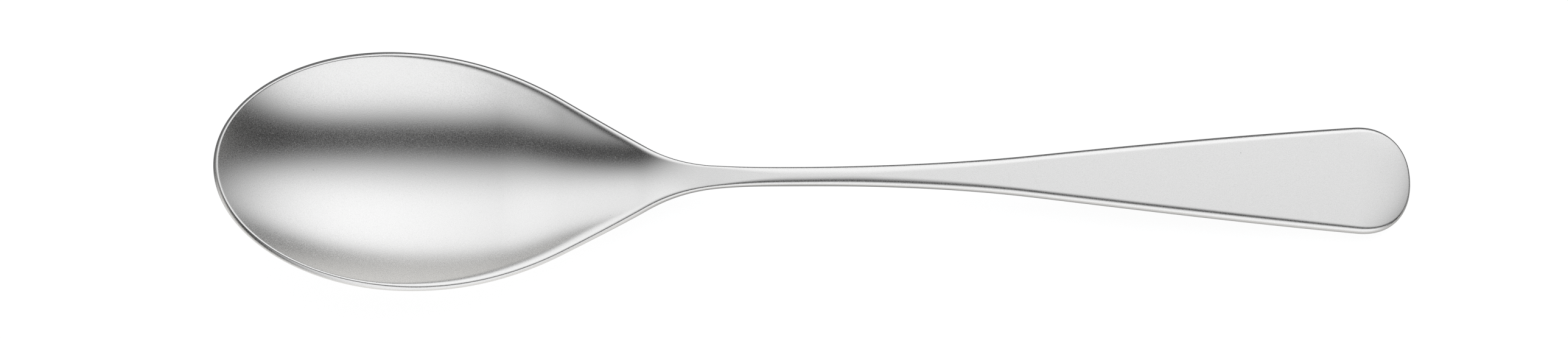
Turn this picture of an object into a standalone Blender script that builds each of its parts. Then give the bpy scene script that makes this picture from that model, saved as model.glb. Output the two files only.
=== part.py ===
"""Tablespoon: one blank of stainless steel with an egg-shaped bowl, a slim neck and a flared handle.

The spoon lies along X, bowl at -X, upper side at +Z, and rests on Z = 0 with the bowl and the end of the
handle. One half is a grid that starts on the middle line of the upper face, wraps round the rim and ends
on the middle line of the back. A Mirror adds the other half. All lengths are in metres.
"""
import bpy
import bmesh
from math import cos, pi, radians, sin, sqrt, tan

# Along the spoon
LENGTH = 0.2047            # tip of the bowl to end of the handle
WIDEST_FROM_TIP = 0.03145  # tip of the bowl to its greatest width
BOWL_LENGTH = 0.085        # tip of the bowl to where its flanks have become the neck
FLANK_LENGTH = 0.0142      # straight stretch of each flank
FLANK_FILLET = 0.012       # curve from the flank into the neck
NECK_FROM_BOWL = 0.013     # end of the bowl to the narrowest place of the neck
CREST_FROM_NECK = 0.014    # narrowest place to the highest place of the handle
FLARE_FROM_NECK = 0.042    # narrowest place to where the handle widens fastest
END_ROUNDING = 0.0096      # length of the rounded end

# Across the spoon
BOWL_WIDTH = 0.0416
FLANK_WIDTH = 0.0112       # across the flanks where their straight stretch ends
FLANK_ANGLE = radians(29.2)
BOWL_END_WIDTH = 0.0040
BOWL_END_ANGLE = radians(4.6)
NECK_WIDTH = 0.0032
FLARE_WIDTH = 0.0075
FLARE_ANGLE = radians(6.6)
SHOULDER_WIDTH = 0.0188    # where the rounded end begins
SHOULDER_ANGLE = radians(4.6)
END_FULLNESS = 2.05        # exponent of the rounded end: 2 is an ellipse, more is squarer

# Heights of the edge above the table
RIM_PITCH = radians(9.1)   # the rim rises towards the tip
HEEL_HEIGHT = 0.00555      # where the rim turns into the neck
BOWL_END_HEIGHT = 0.0059
BOWL_END_SLOPE = radians(2.6)
NECK_HEIGHT = 0.0061
NECK_SLOPE = radians(0.5)
CREST_HEIGHT = 0.0063
SHOULDER_HEIGHT = 0.00255
SHOULDER_SLOPE = radians(3.6)
END_HEIGHT = 0.0003
END_SLOPE = radians(12.4)  # the end of the handle turns down to the table
END_DOME = 0.0006          # and is slightly domed
DOME_EXPONENT = 5          # most of the dome is close to the outline

# Hollow of the bowl
BOWL_DEPTH = 0.0096        # edge of the rim down to the core of the wall
BOWL_FULLNESS = 0.1        # 0 is a parabola, more has a flatter floor and steeper walls
FLANK_DEEPENING = 0.5      # the bowl stays deep between its narrowing flanks
DEEPENING_START = 0.048
DEEPENING_END = 0.072
RUNOUT_START = 0.071       # from here to its end the bowl runs out
REST_FLAT = 0.0002         # height taken off the back where it touches the table

# Fineness of the mesh
BOWL_ROWS = 16
FLANK_ROWS = 20
HANDLE_ROWS = 14
END_ROWS = 8
COLUMNS = 16               # from the middle line to the rim, on each face
COLUMN_CROWDING = 2.0      # columns draw together towards the rim
END_FAN = 0.4              # the rows of the rounded end fan out from this share of its length
SCAN_STEPS = 200           # places at which the bowl's lowest point is looked for
SLOPE_STEP = 0.00001       # distance over which slopes are measured

# Stations along the spoon that several curves share
FLANK_END = BOWL_LENGTH - FLANK_FILLET
FLANK_START = FLANK_END - FLANK_LENGTH
NECK = BOWL_LENGTH + NECK_FROM_BOWL
CREST = NECK + CREST_FROM_NECK
FLARE = NECK + FLARE_FROM_NECK
SHOULDER = LENGTH - END_ROUNDING
CRISP_TO = 0.023           # the rim is crisp and square round the tip
SOFT_FROM = 0.036          # and soft and round along the flanks

# Metal above and below the edge, as (position, thickness, slope): thin in the bowl, strong below the neck
ABOVE_EDGE = [(0, 0.00058, 0.002), (WIDEST_FROM_TIP, 0.00067, 0.006), (FLANK_START, 0.00077, 0),
              (BOWL_LENGTH, 0.00063, 0.01), (NECK, 0.00088, 0.012), (CREST, 0.0010, 0), (FLARE, 0.00112, 0),
              (SHOULDER, 0.0011, -0.01), (LENGTH, 0.00085, -0.04)]
BELOW_EDGE = [(0, 0.00058, 0.002), (WIDEST_FROM_TIP, 0.00067, 0.006), (FLANK_START, 0.00077, 0),
              (BOWL_LENGTH, 0.0017, 0.02), (NECK, 0.00195, 0.01), (CREST, 0.0018, -0.02), (FLARE, 0.0011, 0),
              (SHOULDER, 0.00105, -0.01), (LENGTH, 0.0006, -0.06)]

# Width over which each face rounds off to the edge, as (position, width, slope)
ROUNDING_ABOVE = [(0, 0.00036, 0), (CRISP_TO, 0.0004, 0.02), (FLANK_START, 0.00133, 0.015),
                  (BOWL_LENGTH, 0.0005, 0), (NECK, 0.0016, 0.03), (FLARE, 0.00125, 0),
                  (SHOULDER, 0.0011, -0.02), (LENGTH, 0.00045, -0.05)]
ROUNDING_BELOW = [(0, 0.00035, 0), (WIDEST_FROM_TIP, 0.00042, 0.005), (FLANK_START, 0.0006, 0.015),
                  (BOWL_LENGTH, 0.0019, 0), (NECK, 0.0016, 0), (FLARE, 0.00125, 0),
                  (SHOULDER, 0.0011, -0.02), (LENGTH, 0.0004, -0.05)]

# Exponent of the rounding, as (position, exponent, slope): 2 is an ellipse, more is squarer
SQUARENESS = [(0, 3.5, 0), (CRISP_TO, 3.5, 0), (SOFT_FROM, 2, 0), (BOWL_LENGTH, 2, 0), (NECK, 3.5, 0),
              (CREST, 3.5, 0), (FLARE, 2.1, 0), (LENGTH, 2, 0)]


def curve(x, knots):
    """Smooth curve through knots of (position, value, slope), a cubic between each two."""
    pairs = list(zip(knots, knots[1:]))
    (x0, y0, m0), (x1, y1, m1) = next((pair for pair in pairs if x <= pair[1][0]), pairs[-1])
    run = x1 - x0
    t = (x - x0) / run
    start = (1 + 2 * t) * (1 - t) ** 2 * y0 + t * (1 - t) ** 2 * run * m0
    end = t * t * (3 - 2 * t) * y1 + t * t * (t - 1) * run * m1
    return start + end


def ease(x, start, end):
    """Goes from 0 at start to 1 at end, level at both."""
    t = min(max((x - start) / (end - start), 0.0), 1.0)
    return t * t * (3 - 2 * t)


def half_width_squared(x):
    """Square of the outline's half width: an ellipse at the tip, a superellipse at the handle's end."""
    if x < WIDEST_FROM_TIP:
        return (BOWL_WIDTH / 2) ** 2 * (1 - (1 - x / WIDEST_FROM_TIP) ** 2)
    if x < SHOULDER:
        flank = tan(FLANK_ANGLE)
        return curve(x, [
            (WIDEST_FROM_TIP, BOWL_WIDTH / 2, 0),
            (FLANK_START, FLANK_WIDTH / 2 + FLANK_LENGTH * flank, -flank),
            (FLANK_END, FLANK_WIDTH / 2, -flank),
            (BOWL_LENGTH, BOWL_END_WIDTH / 2, -tan(BOWL_END_ANGLE)),
            (NECK, NECK_WIDTH / 2, 0),
            (FLARE, FLARE_WIDTH / 2, tan(FLARE_ANGLE)),
            (SHOULDER, SHOULDER_WIDTH / 2, tan(SHOULDER_ANGLE)),
        ]) ** 2
    past = min((x - SHOULDER) / END_ROUNDING, 1.0)
    sides = SHOULDER_WIDTH / 2 + tan(SHOULDER_ANGLE) * (x - SHOULDER)
    return (sides * (1 - past ** END_FULLNESS) ** (1 / END_FULLNESS)) ** 2


def hollow(x, y):
    """Depth of the bowl below its rim: it follows the outline, and runs out where the bowl ends."""
    if x > BOWL_LENGTH:
        return 0.0
    share = (half_width_squared(x) - y * y) / (BOWL_WIDTH / 2) ** 2
    share *= 1 + FLANK_DEEPENING * ease(x, DEEPENING_START, DEEPENING_END)
    share *= 1 - ease(x, RUNOUT_START, BOWL_LENGTH)
    return BOWL_DEPTH * (share + BOWL_FULLNESS * share * (1 - share))


def rim_height_at_widest():
    """Height of the rim at which the back of the bowl, less its rest flat, just touches the table."""
    steps = [BOWL_LENGTH * step / SCAN_STEPS for step in range(1, SCAN_STEPS)]
    deepest = max(
        hollow(x, 0) + curve(x, BELOW_EDGE) + (x - WIDEST_FROM_TIP) * tan(RIM_PITCH) for x in steps
    )
    return deepest - REST_FLAT


RIM_HEIGHT = rim_height_at_widest()


def edge_height(x):
    """Height of the edge: the pitched rim, then the low arch of the handle."""
    pitch = tan(RIM_PITCH)
    return curve(x, [
        (0, RIM_HEIGHT + pitch * WIDEST_FROM_TIP, -pitch),
        (FLANK_START, RIM_HEIGHT - pitch * (FLANK_START - WIDEST_FROM_TIP), -pitch),
        (FLANK_END, HEEL_HEIGHT, 0),
        (BOWL_LENGTH, BOWL_END_HEIGHT, tan(BOWL_END_SLOPE)),
        (NECK, NECK_HEIGHT, tan(NECK_SLOPE)),
        (CREST, CREST_HEIGHT, 0),
        (SHOULDER, SHOULDER_HEIGHT, -tan(SHOULDER_SLOPE)),
        (LENGTH, END_HEIGHT + END_DOME, -tan(END_SLOPE)),
    ])


def core_height(x, y):
    """Height of the surface through the edge: sunk by the hollow in the bowl, domed at the handle's end."""
    past = min(max((x - SHOULDER) / END_ROUNDING, 0.0), 1.0)
    across = abs(y) / (SHOULDER_WIDTH / 2)
    nearness = (past ** END_FULLNESS + across ** END_FULLNESS) ** (1 / END_FULLNESS)
    return edge_height(x) - hollow(x, y) - END_DOME * past * nearness ** DOME_EXPONENT


def stations():
    """Positions of the rows, close together where the outline turns at both ends."""
    quarter = pi / 2
    bowl = [WIDEST_FROM_TIP * (1 - cos(quarter * row / BOWL_ROWS)) for row in range(BOWL_ROWS)]
    flank_run = (NECK - WIDEST_FROM_TIP) / FLANK_ROWS
    flank = [WIDEST_FROM_TIP + flank_run * row for row in range(FLANK_ROWS)]
    handle_run = (SHOULDER - NECK) / HANDLE_ROWS
    handle = [NECK + handle_run * row for row in range(HANDLE_ROWS)]
    end = [SHOULDER + END_ROUNDING * sin(quarter * row / END_ROWS) for row in range(END_ROWS + 1)]
    return bowl + flank + handle + end


def line_start(x):
    """Where the row that meets the rim at x starts on the middle line, so that it meets the rim squarely."""
    if x < WIDEST_FROM_TIP:
        return WIDEST_FROM_TIP - (WIDEST_FROM_TIP - x) * (1 - (BOWL_WIDTH / 2 / WIDEST_FROM_TIP) ** 2)
    if x < NECK:
        step = SLOPE_STEP
        return x + (half_width_squared(x + step) - half_width_squared(x - step)) / (4 * step)
    return min(x, SHOULDER + (x - SHOULDER) * END_FAN)


def rounded_off(x, distance, reach, rounding):
    """Share of the full metal at a distance from the edge: an arc of the row's squareness."""
    width = min(curve(x, rounding), reach)
    share = min(distance / width, 1.0) if width > 0 else 0.0
    squareness = curve(x, SQUARENESS)
    return (1 - (1 - share) ** squareness) ** (1 / squareness)


def row_points(x):
    """Points of one row, from the upper middle line over the rim to the back's middle line."""
    start = line_start(x)
    half_width = sqrt(max(half_width_squared(x), 0.0)) if x < LENGTH else 0.0
    reach = sqrt((x - start) ** 2 + half_width ** 2)
    step = SLOPE_STEP

    upper = []
    back = []
    for column in range(COLUMNS + 1):
        inset = (1 - column / COLUMNS) ** COLUMN_CROWDING
        px = x + (start - x) * inset
        py = half_width * (1 - inset)
        slope_x = (core_height(px + step, py) - core_height(px - step, py)) / (2 * step)
        slope_y = (core_height(px, py + step) - core_height(px, py - step)) / (2 * step)
        steepness = sqrt(1 + slope_x ** 2 + slope_y ** 2)
        above = curve(px, ABOVE_EDGE) * rounded_off(x, inset * reach, reach, ROUNDING_ABOVE) / steepness
        below = curve(px, BELOW_EDGE) * rounded_off(x, inset * reach, reach, ROUNDING_BELOW) / steepness
        core = core_height(px, py)
        upper.append((px - slope_x * above, py - slope_y * above, core + above))
        back.append((px + slope_x * below, py + slope_y * below, max(core - below, 0.0)))
    return upper + back[-2::-1]


def make_spoon():
    mesh = bpy.data.meshes.new("tablespoon")
    grid = bmesh.new()
    rows = []
    for x in stations():
        rows.append([grid.verts.new((px - LENGTH / 2, py, pz)) for px, py, pz in row_points(x)])
    for row, following in zip(rows, rows[1:]):
        for column in range(len(row) - 1):
            grid.faces.new((row[column], following[column], following[column + 1], row[column + 1]))
    grid.to_mesh(mesh)
    grid.free()
    mesh.shade_smooth()
    mesh.materials.append(satin_steel())
    spoon = bpy.data.objects.new("tablespoon", mesh)
    bpy.context.scene.collection.objects.link(spoon)
    mirror = spoon.modifiers.new("other_half", "MIRROR")
    mirror.use_axis = (False, True, False)
    mirror.merge_threshold = 0.000001
    return spoon


def satin_steel():
    material = bpy.data.materials.new("satin_steel")
    material.use_nodes = True
    shader = material.node_tree.nodes["Principled BSDF"]
    shader.inputs["Base Color"].default_value = (0.72, 0.715, 0.70, 1.0)
    shader.inputs["Metallic"].default_value = 1.0
    shader.inputs["Roughness"].default_value = 0.34
    return material


for leftover in list(bpy.data.objects):
    bpy.data.objects.remove(leftover)
make_spoon()
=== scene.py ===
from math import cos, pi, radians, sin, tan

import bpy
import numpy as np
from mathutils import Matrix, Vector


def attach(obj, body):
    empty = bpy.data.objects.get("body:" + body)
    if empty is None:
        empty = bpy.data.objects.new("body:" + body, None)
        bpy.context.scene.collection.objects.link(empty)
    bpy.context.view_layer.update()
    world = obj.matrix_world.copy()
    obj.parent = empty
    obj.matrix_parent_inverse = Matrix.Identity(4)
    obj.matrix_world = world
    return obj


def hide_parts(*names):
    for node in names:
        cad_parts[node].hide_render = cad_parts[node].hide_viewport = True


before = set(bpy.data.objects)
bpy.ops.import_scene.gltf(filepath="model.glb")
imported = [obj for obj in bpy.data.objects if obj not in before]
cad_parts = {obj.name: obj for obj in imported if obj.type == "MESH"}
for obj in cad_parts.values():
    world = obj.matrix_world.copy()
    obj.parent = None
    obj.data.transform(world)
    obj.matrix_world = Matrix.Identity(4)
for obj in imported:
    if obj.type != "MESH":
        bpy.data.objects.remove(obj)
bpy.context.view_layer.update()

# The tablespoon.
# One blank of stainless steel, stamped out, rolled thin where the bowl will be and pressed to shape in a
# die. The edge is rounded on a belt, then the whole spoon is blasted to an even satin.

LENGTH = 0.2047            # tip of the bowl to end of the handle
WIDEST_FROM_TIP = 0.03145  # tip of the bowl to its greatest width
FLANK_START = 0.0588       # the flanks run straight from here
FLANK_END = 0.073          # to here
BOWL_END = 0.085           # the flanks have become the neck
NECK = 0.098               # narrowest place
CREST = 0.112              # highest place of the handle
FLARE = 0.140              # the handle widens fastest
SHOULDER = 0.1951          # the rounded end begins

BOWL_WIDTH = 0.0416
FLANK_WIDTH = 0.0112       # across the flanks where their straight stretch ends
FLANK_ANGLE = radians(29.2)
BOWL_END_WIDTH = 0.0040
BOWL_END_ANGLE = radians(4.6)
NECK_WIDTH = 0.0032
FLARE_WIDTH = 0.0075
FLARE_ANGLE = radians(6.6)
SHOULDER_WIDTH = 0.0188
SHOULDER_ANGLE = radians(4.6)
END_FULLNESS = 2.15        # exponent of the rounded end: 2 is an ellipse, more is squarer

RIM_PITCH = radians(9.1)   # the rim rises towards the tip
HEEL_HEIGHT = 0.0052       # of the edge, where the rim turns into the neck
BOWL_END_HEIGHT = 0.0059
BOWL_END_SLOPE = radians(6)
NECK_HEIGHT = 0.0063
NECK_SLOPE = radians(0.5)
CREST_HEIGHT = 0.0064
SHOULDER_HEIGHT = 0.00255
SHOULDER_SLOPE = radians(3.6)
END_HEIGHT = 0.0010
END_SLOPE = radians(9.5)   # the end turns down to the table
END_DOME = 0.0003          # and is slightly domed
DOME_EXPONENT = 5          # most of the dome is close to the outline

BOWL_DEPTH = 0.0096        # edge of the rim down to the core of the wall
BOWL_FULLNESS = 0.1        # 0 is a parabola, more has a flatter floor and steeper walls
FLANK_DEEPENING = 0.5      # the bowl stays deep between its narrowing flanks
DEEPENING = (0.048, 0.072)
RUNOUT = (0.071, BOWL_END)  # here the bowl runs out
REST_FLAT = 0.0002         # height taken off the back where it touches the table
CRISP_TO = 0.023           # the rim is crisp and square round the tip
SOFT_FROM = 0.036          # and soft and round along the flanks
SCAN_STEPS = 400           # places at which the bowl's lowest point is looked for
SCAN_START = 0.001
SLOPE_STEP = 1e-5          # distance over which slopes are measured
COLUMN_CROWDING = 2        # columns draw together towards the rim
END_FAN = 0.4              # the rows of the rounded end fan out from this share of its length

# Metal above and below the edge, as (position, thickness, slope): thin in the bowl, strong below the neck.
ABOVE_EDGE = [(0, 0.00058, 0.002), (WIDEST_FROM_TIP, 0.00067, 0.006), (FLANK_START, 0.00077, 0),
              (BOWL_END, 0.00063, 0.01), (NECK, 0.00088, 0.012), (CREST, 0.0010, 0), (FLARE, 0.00112, 0),
              (SHOULDER, 0.0011, -0.01), (LENGTH, 0.00085, -0.04)]
BELOW_EDGE = [(0, 0.00058, 0.002), (WIDEST_FROM_TIP, 0.00067, 0.006), (FLANK_START, 0.00077, 0),
              (BOWL_END, 0.0017, 0.02), (NECK, 0.00195, 0.01), (CREST, 0.0018, -0.02), (FLARE, 0.0011, 0),
              (SHOULDER, 0.00105, -0.01), (LENGTH, 0.0009, -0.03)]

# Width over which each face rounds off to the edge, as (position, width, slope).
ROUNDING_ABOVE = [(0, 0.00036, 0), (CRISP_TO, 0.0004, 0.02), (FLANK_START, 0.0018, 0.01),
                  (FLANK_END, 0.00095, -0.03), (BOWL_END, 0.0006, 0.02), (NECK, 0.0016, 0.03),
                  (FLARE, 0.00125, 0), (SHOULDER, 0.0011, -0.02), (LENGTH, 0.00045, -0.05)]
ROUNDING_BELOW = [(0, 0.00035, 0), (WIDEST_FROM_TIP, 0.00042, 0.005), (FLANK_START, 0.0006, 0.015),
                  (BOWL_END, 0.0019, 0), (NECK, 0.0016, 0), (FLARE, 0.00125, 0),
                  (SHOULDER, 0.0011, -0.02), (LENGTH, 0.0004, -0.05)]

# Exponent of the rounding, as (position, exponent, slope): 2 is an ellipse, more is squarer.
SQUARENESS = [(0, 3.5, 0), (CRISP_TO, 3.5, 0), (SOFT_FROM, 2.5, 0), (BOWL_END, 2.5, 0), (NECK, 2.8, 0),
              (CREST, 2.5, 0), (FLARE, 2.1, 0), (LENGTH, 2, 0)]


def flowing_curve(x, knots):
    """A cubic between each two knots of (position, value, slope), so that value and slope run through."""
    knots = np.array(knots)
    left = np.clip(np.searchsorted(knots[:, 0], x) - 1, 0, len(knots) - 2)
    x0, y0, m0 = np.moveaxis(knots[left], -1, 0)
    x1, y1, m1 = np.moveaxis(knots[left + 1], -1, 0)
    run = x1 - x0
    t = (x - x0) / run
    start = (1 + 2 * t) * (1 - t) ** 2 * y0 + t * (1 - t) ** 2 * run * m0
    return start + t * t * (3 - 2 * t) * y1 + t * t * (t - 1) * run * m1


def ease(x, start, end):
    """3t^2 - 2t^3: from 0 at start to 1 at end, level at both."""
    t = np.clip((x - start) / (end - start), 0, 1)
    return t * t * (3 - 2 * t)


def half_width_squared(x):
    """Outline seen from above: half an ellipse at the tip, one flowing curve along the flanks, neck and
    handle, and a superellipse times the handle's own taper at the end."""
    tip = (BOWL_WIDTH / 2) ** 2 * (1 - (1 - x / WIDEST_FROM_TIP) ** 2)
    flank = tan(FLANK_ANGLE)
    sides = flowing_curve(x, [
        (WIDEST_FROM_TIP, BOWL_WIDTH / 2, 0),
        (FLANK_START, FLANK_WIDTH / 2 + (FLANK_END - FLANK_START) * flank, -flank),
        (FLANK_END, FLANK_WIDTH / 2, -flank),
        (BOWL_END, BOWL_END_WIDTH / 2, -tan(BOWL_END_ANGLE)),
        (NECK, NECK_WIDTH / 2, 0),
        (FLARE, FLARE_WIDTH / 2, tan(FLARE_ANGLE)),
        (SHOULDER, SHOULDER_WIDTH / 2, tan(SHOULDER_ANGLE)),
    ])
    past = np.clip((x - SHOULDER) / (LENGTH - SHOULDER), 0, 1)
    taper = SHOULDER_WIDTH / 2 + tan(SHOULDER_ANGLE) * (x - SHOULDER)
    end = taper * (1 - past ** END_FULLNESS) ** (1 / END_FULLNESS)
    return np.where(x < WIDEST_FROM_TIP, tip, np.where(x < SHOULDER, sides, end) ** 2)


def hollow(x, y):
    """Depth of the bowl below its rim. It grows with the half width squared less y squared, which is
    nought all along the outline, stays deeper between the flanks and runs out at the heel."""
    share = (half_width_squared(x) - y * y) / (BOWL_WIDTH / 2) ** 2
    share = share * (1 + FLANK_DEEPENING * ease(x, *DEEPENING)) * (1 - ease(x, *RUNOUT))
    return BOWL_DEPTH * (share + BOWL_FULLNESS * share * (1 - share))


def edge_height(x):
    """Height of the edge: the rim of the bowl rises to its tip, the handle arches low over the table."""
    pitch = tan(RIM_PITCH)
    along = np.linspace(SCAN_START, BOWL_END, SCAN_STEPS)
    deepest = hollow(along, 0) + flowing_curve(along, BELOW_EDGE) + (along - WIDEST_FROM_TIP) * pitch
    rim = deepest.max() - REST_FLAT
    return flowing_curve(x, [
        (0, rim + pitch * WIDEST_FROM_TIP, -pitch),
        (FLANK_START, rim - pitch * (FLANK_START - WIDEST_FROM_TIP), -pitch),
        (FLANK_END, HEEL_HEIGHT, 0),
        (BOWL_END, BOWL_END_HEIGHT, tan(BOWL_END_SLOPE)),
        (NECK, NECK_HEIGHT, tan(NECK_SLOPE)),
        (CREST, CREST_HEIGHT, 0),
        (SHOULDER, SHOULDER_HEIGHT, -tan(SHOULDER_SLOPE)),
        (LENGTH, END_HEIGHT + END_DOME, -tan(END_SLOPE)),
    ])


def core_height(x, y):
    """Height of the surface that runs through the edge: level across the handle, sunk by the hollow in the
    bowl, and domed at the end by a power of how near the rounded outline is."""
    past = np.clip((x - SHOULDER) / (LENGTH - SHOULDER), 0, 1)
    across = y / (SHOULDER_WIDTH / 2)
    near = (past ** END_FULLNESS + across ** END_FULLNESS) ** (DOME_EXPONENT / END_FULLNESS)
    return edge_height(x) - hollow(x, y) - END_DOME * past * near


def spoon_halves(bowl_rows, flank_rows, handle_rows, end_rows, columns):
    """Upper face and back of the half with y >= 0, as grids of points, and how near each is to the edge.
    A row runs from the middle line to the outline and meets the outline squarely. Half the thickness is
    laid off to both sides of the middle surface, and rounds off to nothing at the edge."""
    quarter = np.linspace(0, pi / 2, bowl_rows, endpoint=False)
    x = np.concatenate([
        WIDEST_FROM_TIP * (1 - np.cos(quarter)),
        np.linspace(WIDEST_FROM_TIP, NECK, flank_rows, endpoint=False),
        np.linspace(NECK, SHOULDER, handle_rows, endpoint=False),
        SHOULDER + (LENGTH - SHOULDER) * np.sin(np.linspace(0, pi / 2, end_rows)),
    ])[:, None]
    step = SLOPE_STEP
    squared = np.maximum(half_width_squared(x), 0)
    squared[-1] = 0
    turn = (half_width_squared(x + step) - half_width_squared(x - step)) / (4 * step)
    start = np.where(x < NECK, x + turn, np.minimum(x, SHOULDER + (x - SHOULDER) * END_FAN))
    reach = np.sqrt((x - start) ** 2 + squared)
    inset = np.linspace(1, 0, columns + 1)[None] ** COLUMN_CROWDING
    px = x + (start - x) * inset
    py = np.sqrt(squared) * (1 - inset)

    squareness = flowing_curve(x, SQUARENESS)
    halves = []
    for metal, rounding in ((ABOVE_EDGE, ROUNDING_ABOVE), (BELOW_EDGE, ROUNDING_BELOW)):
        width = np.minimum(flowing_curve(x, rounding), reach)
        rounded = np.minimum(inset * reach / np.maximum(width, step), 1)
        halves.append(flowing_curve(px, metal) * (1 - (1 - rounded) ** squareness) ** (1 / squareness))
    slope_x = (core_height(px + step, py) - core_height(px - step, py)) / (2 * step)
    slope_y = (core_height(px, py + step) - core_height(px, np.abs(py - step))) / (2 * step)
    steep = np.sqrt(1 + slope_x ** 2 + slope_y ** 2)
    above, below = (half / steep for half in halves)
    core = core_height(px, py)
    upper = np.stack([px - slope_x * above, py - slope_y * above, core + above], axis=-1)
    back = np.stack([px + slope_x * below, py + slope_y * below, np.maximum(core - below, 0)], axis=-1)
    return upper - (LENGTH / 2, 0, 0), back - (LENGTH / 2, 0, 0), inset * reach


def closed_skin(upper, back):
    """One closed skin of both halves. Each row becomes a ring: over the far half, round its edge, along
    the back, round the near edge and over to the start. The first and the last ring lie folded on the
    middle line, so their near halves take the points of their far halves."""
    mirror = np.array([1, -1, 1])
    ring = np.concatenate([upper, back[:, -2::-1], back[:, 1:] * mirror, upper[:, -2:0:-1] * mirror], axis=1)
    rows, around = ring.shape[:2]
    numbers = np.arange(rows * around).reshape(rows, around)
    half = around // 2
    numbers[[0, -1], half + 1:] = numbers[[0, -1], half - 1:0:-1]
    ahead = np.roll(numbers, -1, axis=1)
    faces = np.stack([numbers[:-1], numbers[1:], ahead[1:], ahead[:-1]], axis=-1).reshape(-1, 4)
    kept, faces = np.unique(faces, return_inverse=True)
    return ring.reshape(-1, 3)[kept], faces.reshape(-1, 4), kept


upper, back, edge_distance = spoon_halves(
    bowl_rows=100, flank_rows=130, handle_rows=110, end_rows=50, columns=44)
points, faces, kept = closed_skin(upper, back)
mesh = bpy.data.meshes.new("tablespoon_skin")
mesh.from_pydata(points.tolist(), [], faces.tolist())
mesh.shade_smooth()
spoon = bpy.data.objects.new("tablespoon_skin", mesh)
bpy.context.scene.collection.objects.link(spoon)

# How worn each point is: the belt-rounded edge is handled and rubbed most.
WEAR_WIDTH = 0.0007        # at this distance from the edge the wear has fallen to a third
wear = np.exp(-(edge_distance / WEAR_WIDTH) ** 2)
wear = np.concatenate([wear, wear[:, -2::-1], wear[:, 1:], wear[:, -2:0:-1]], axis=1).reshape(-1)[kept]
mesh.attributes.new("edge_wear", "FLOAT", "POINT").data.foreach_set("value", wear.astype(np.float32))


class Signal:
    """A socket in a node tree. Arithmetic on it adds Math nodes, and node() adds any other node."""

    def __init__(self, tree, socket=None):
        self.tree = tree
        self.socket = socket

    def node(self, kind, settings=None, inputs=None, output=0):
        """Adds a node, sets its settings first, then fills in or links its sockets."""
        made = self.tree.nodes.new(kind)
        for name, value in (settings or {}).items():
            setattr(made, name, value)
        for name, value in (inputs or {}).items():
            if isinstance(value, Signal):
                self.tree.links.new(value.socket, made.inputs[name])
            else:
                made.inputs[name].default_value = value
        return Signal(self.tree, made.outputs[output] if made.outputs else None)

    def math(self, operation, first, second):
        return self.node("ShaderNodeMath", {"operation": operation}, {0: first, 1: second})

    def __add__(self, other):
        return self.math("ADD", self, other)

    def __sub__(self, other):
        return self.math("SUBTRACT", self, other)

    def __mul__(self, other):
        return self.math("MULTIPLY", self, other)

    def __rsub__(self, other):
        return self.math("SUBTRACT", other, self)

    __radd__ = __add__
    __rmul__ = __mul__

    def smooth(self, start, end, first=0, last=1):
        """Runs smoothly from first to last while this socket runs from start to end."""
        return self.node("ShaderNodeMapRange", {"interpolation_type": "SMOOTHSTEP"}, {
            "Value": self, "From Min": start, "From Max": end, "To Min": first, "To Max": last})

    def blend(self, first, second):
        """The first colour where this socket is 0, the second where it is 1, and mixtures between."""
        return self.node("ShaderNodeMix", {"data_type": "RGBA"}, {0: self, 6: first, 7: second}, 2)

    def dot(self, vector):
        """How far this position lies along a vector."""
        return self.node("ShaderNodeVectorMath", {"operation": "DOT_PRODUCT"}, {0: self, 1: vector}, "Value")


def bare_tree(owner):
    """The emptied node tree of a material, a lamp or the world."""
    owner.use_nodes = True
    owner.node_tree.nodes.clear()
    return Signal(owner.node_tree)


GRAIN = {"Scale": 5600, "Detail": 1, "Roughness": 0.5}
GRAIN_HEIGHT = 0.000006
GRAIN_STRENGTH = 0.5
DEEP_GRAIN = {"Scale": 6300, "Detail": 0}
FLECKS = (0.58, 0.78)      # the deep grain shows from the first value on, fully at the second
CLOUDS = {"Scale": 70, "Detail": 3, "Roughness": 0.5}
PIT_SCALE = 220
PIT_EDGE = (0.012, 0.034)  # a pit is dark up to the first distance and gone at the second
DULL_STEEL = (0.775, 0.763, 0.738, 1)
BRIGHT_STEEL = (0.803, 0.79, 0.765, 1)
PIT_COLOUR = (0.5, 0.5, 0.49, 1)
SATIN = 0.267              # roughness, and how much each of these changes it
SATIN_CLOUDS = 0.05
SATIN_GRAIN = 0.2
SATIN_FLECKS = 0.06
SATIN_WEAR = 0.02


def satin_steel():
    """Blasted stainless steel: a fine pebbled grain with flecks where the blast cut deeper, cloudy patches
    where it was handled, a worn edge and a few tiny pits."""
    material = bpy.data.materials.new("satin_steel")
    tree = bare_tree(material)
    place = tree.node("ShaderNodeTexCoord", output="Object")
    grain = tree.node("ShaderNodeTexNoise", {}, {"Vector": place, **GRAIN})
    deep = tree.node("ShaderNodeTexNoise", {}, {"Vector": place, **DEEP_GRAIN})
    fleck = tree.node("ShaderNodeMapRange", {}, {
        "Value": deep, "From Min": FLECKS[0], "From Max": FLECKS[1]})
    cloud = tree.node("ShaderNodeTexNoise", {}, {"Vector": place, **CLOUDS})
    wear = tree.node("ShaderNodeAttribute", {"attribute_name": "edge_wear"}, output="Fac")
    apart = tree.node("ShaderNodeTexVoronoi", {}, {"Vector": place, "Scale": PIT_SCALE}, "Distance")
    pit = apart.smooth(*PIT_EDGE, first=1, last=0)
    uneven = SATIN_CLOUDS * (cloud - 0.5) + SATIN_GRAIN * (grain - 0.5)
    roughness = SATIN + uneven + SATIN_FLECKS * fleck + SATIN_WEAR * wear
    tone = pit.blend(cloud.blend(DULL_STEEL, BRIGHT_STEEL), PIT_COLOUR)
    normal = tree.node("ShaderNodeBump", {}, {
        "Strength": GRAIN_STRENGTH, "Distance": GRAIN_HEIGHT, "Height": grain})
    surface = tree.node("ShaderNodeBsdfPrincipled", {}, {
        "Base Color": tone, "Metallic": 1.0, "Roughness": roughness, "Normal": normal})
    tree.node("ShaderNodeOutputMaterial", {}, {"Surface": surface})
    return material


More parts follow.
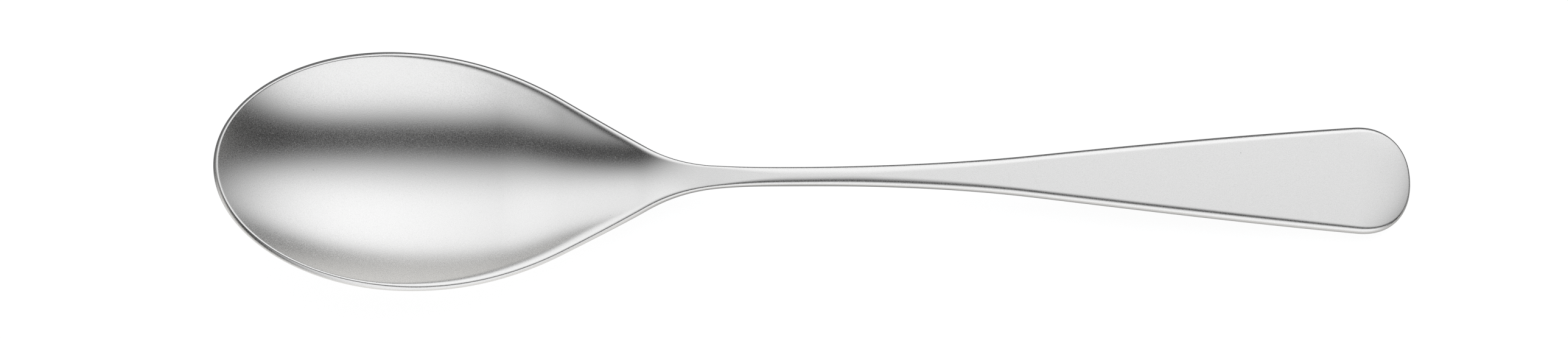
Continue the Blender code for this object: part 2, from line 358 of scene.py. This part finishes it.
mesh.materials.append(satin_steel())
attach(spoon, "root")
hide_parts("tablespoon")

# The table.
# A plain sheet that runs out of the picture on all sides. Seen by the camera it glows to white, and where
# the spoon shades it the shade stays. For glossy rays it also has a painted pool of light as glow, which the
# spoon
# mirrors: bright in front, less along the handle, none behind.

TABLE_HALF = 6.0
TABLE_COLOUR = (0.25, 0.25, 0.25, 1)
TABLE_GLOW = 0.90          # to the camera
PAINTED_GLOW_IN_METAL = 0.76        # painted glow, added only for glossy rays where the spoon mirrors the front of the table
PAINTED_GLOW_FROM = 0.007           # the painted pool of light begins here, in Y
PAINTED_GLOW_FULLY = -0.022
PAINTED_GLOW_DIMMING = (0.0, 0.04)       # along the handle the painted glow is weaker, from the first X on and fully at the second
HANDLE_PAINTED_GLOW_SHARE = 0.83        # of the painted glow in front of the bowl

table_mesh = bpy.data.meshes.new("table")
corners = np.array([(-1, -1, 0), (1, -1, 0), (1, 1, 0), (-1, 1, 0)]) * TABLE_HALF
table_mesh.from_pydata(corners.tolist(), [], [(0, 1, 2, 3)])
table = bpy.data.objects.new("table", table_mesh)
bpy.context.scene.collection.objects.link(table)
paper = bpy.data.materials.new("white_paper")
tree = bare_tree(paper)
camera_ray = tree.node("ShaderNodeLightPath", output="Is Camera Ray")
glossy_ray = tree.node("ShaderNodeLightPath", output="Is Glossy Ray")
place = tree.node("ShaderNodeTexCoord", output="Object")
beside = tree.node("ShaderNodeSeparateXYZ", {}, {"Vector": place}, "X")
behind = tree.node("ShaderNodeSeparateXYZ", {}, {"Vector": place}, "Y")
# Painted light: a pool of glow on the table, seen only in the spoon's reflections, bright in front of the
# spoon and gone behind it
painted_light_pool = (-1 * behind).smooth(-PAINTED_GLOW_FROM, -PAINTED_GLOW_FULLY)
share = beside.smooth(*PAINTED_GLOW_DIMMING, first=1, last=HANDLE_PAINTED_GLOW_SHARE)
# white to the camera, plus the painted pool of light for glossy rays
glow = TABLE_GLOW * camera_ray + PAINTED_GLOW_IN_METAL * painted_light_pool * share * glossy_ray
matt = tree.node("ShaderNodeBsdfDiffuse", {}, {"Color": TABLE_COLOUR})
shine = tree.node("ShaderNodeEmission", {}, {"Strength": glow})
both = tree.node("ShaderNodeAddShader", {}, {0: matt, 1: shine})
tree.node("ShaderNodeOutputMaterial", {}, {"Surface": both})
table_mesh.materials.append(paper)

# The light.
# Two softboxes, one behind and above the spoon and one in front, leave a dark gap between them, which the
# bowl mirrors as a band. Both fade to their edges. The room is dim, with lighter walls beyond both ends.

ROOM_LIGHT = 0.02
LEFT_WALL = 0.42
LEFT_WALL_EDGE = (0.8, 0.92)     # cosines of the angle to the X axis where the wall begins and is fully lit
RIGHT_WALL = 0.6
RIGHT_WALL_EDGE = (0.94, 0.985)
DAYLIGHT = (0.99, 1.006, 1.04)
SOFTBOX_DISTANCE = 0.9


def softbox(name, edges, fades, bow, turn, radiance):
    """A rectangular lamp above the spoon. Its edges are angles from straight up: the far and the near edge
    towards the front, the left and the right one along the spoon. It is turned a little about its own
    middle. From each edge inwards the light rises smoothly over a share of the lamp's size. The edge at the
    gap bows: it draws back by an amount times the square of the distance along the lamp from the bow's
    middle. Amount and middle are in lamp distances, and the middle counts from the lamp's centre."""
    far, near, left, right = (radians(edge) for edge in edges)
    amount, bow_middle = bow
    middle = (far + near) / 2
    outward = Vector((0, -sin(middle), cos(middle)))
    centre = outward * SOFTBOX_DISTANCE + Vector((SOFTBOX_DISTANCE * (tan(left) + tan(right)) / 2, 0, 0))
    spin = Matrix.Rotation(radians(turn), 3, outward)
    along = spin @ Vector((1, 0, 0))
    backward = outward.cross(along)
    lamp = bpy.data.lights.new(name, "AREA")
    lamp.shape = "RECTANGLE"
    lamp.size = SOFTBOX_DISTANCE * (tan(right) - tan(left))
    lamp.size_y = SOFTBOX_DISTANCE * 2 * tan((near - far) / 2)
    lamp.color = DAYLIGHT
    lamp.energy = radiance * pi * lamp.size * lamp.size_y
    tree = bare_tree(lamp)
    place = tree.node("ShaderNodeNewGeometry", output="Position")
    from_bow = (place.dot(along) - centre.dot(along)) * (1 / SOFTBOX_DISTANCE) - bow_middle
    drawn_back = amount * SOFTBOX_DISTANCE * (from_bow * from_bow)
    brightness = 1.0
    sides = ((-backward, lamp.size_y), (backward, lamp.size_y), (along, lamp.size), (-along, lamp.size))
    gap_side = 1 if middle < 0 else 0   # the near edge of the lamp behind, the far edge of the one in front
    for side, ((inward, size), fade) in enumerate(zip(sides, fades)):
        edge = centre.dot(inward) - size / 2
        inset = place.dot(inward)
        if side == gap_side:
            inset = inset - drawn_back
        brightness = brightness * inset.smooth(edge, edge + fade * size)
    shine = tree.node("ShaderNodeEmission", {}, {"Strength": brightness})
    tree.node("ShaderNodeOutputLight", {}, {"Surface": shine})
    box = bpy.data.objects.new(name, lamp)
    box.matrix_world = Matrix.Translation(centre) @ Matrix((along, backward, outward)).transposed().to_4x4()
    box.visible_camera = False
    bpy.context.scene.collection.objects.link(box)


softbox("back_softbox", edges=(-85.3, 18.5, -70.6, 69.4), fades=(0.22, 0.501, 0.6, 0.416),
        bow=(0.141, 0.08), turn=2.4, radiance=1.235)
softbox("front_softbox", edges=(22, 100, -39.4, 60.7), fades=(0.36, 0.229, 0.281, 0.464),
        bow=(0.03, -1.4), turn=8.3, radiance=1.139)

world = bpy.data.worlds.new("dim_room")
tree = bare_tree(world)
seen = tree.node("ShaderNodeLightPath", output="Is Camera Ray")
direction = tree.node("ShaderNodeTexCoord", output="Generated")
along = tree.node("ShaderNodeSeparateXYZ", {}, {"Vector": direction}, "X")
left = (-1 * along).smooth(*LEFT_WALL_EDGE, last=LEFT_WALL)
right = along.smooth(*RIGHT_WALL_EDGE, last=RIGHT_WALL)
dim = ROOM_LIGHT + left + right
room = tree.node("ShaderNodeBackground", {}, {"Strength": dim + (1 - dim) * seen})
tree.node("ShaderNodeOutputWorld", {}, {"Surface": room})
bpy.context.scene.world = world
bpy.context.scene.view_settings.view_transform = "Standard"

# The camera.
# It looks down on the spoon from in front, 15 degrees off the vertical, through a long lens.

CAMERA_TILT = radians(15)
CAMERA_ROLL = radians(-0.1435)
CAMERA_DISTANCE = 1.0
AIM = Vector((-0.00552, 0.0030, 0))
VIEW_WIDTH = 0.27098       # width of the picture at the table

across = Vector((1, 0, 0))
back_off = Vector((0, -sin(CAMERA_TILT), cos(CAMERA_TILT)))
up = back_off.cross(across)
turned_across = across * cos(CAMERA_ROLL) + up * sin(CAMERA_ROLL)
turned_up = up * cos(CAMERA_ROLL) - across * sin(CAMERA_ROLL)
lens = bpy.data.cameras.new("camera")
lens.sensor_fit = "HORIZONTAL"
lens.lens = lens.sensor_width * CAMERA_DISTANCE / VIEW_WIDTH
camera = bpy.data.objects.new("camera", lens)
camera.matrix_world = Matrix.Translation(AIM + back_off * CAMERA_DISTANCE) @ Matrix(
    (turned_across, turned_up, back_off)).transposed().to_4x4()
bpy.context.scene.collection.objects.link(camera)
bpy.context.scene.camera = camera
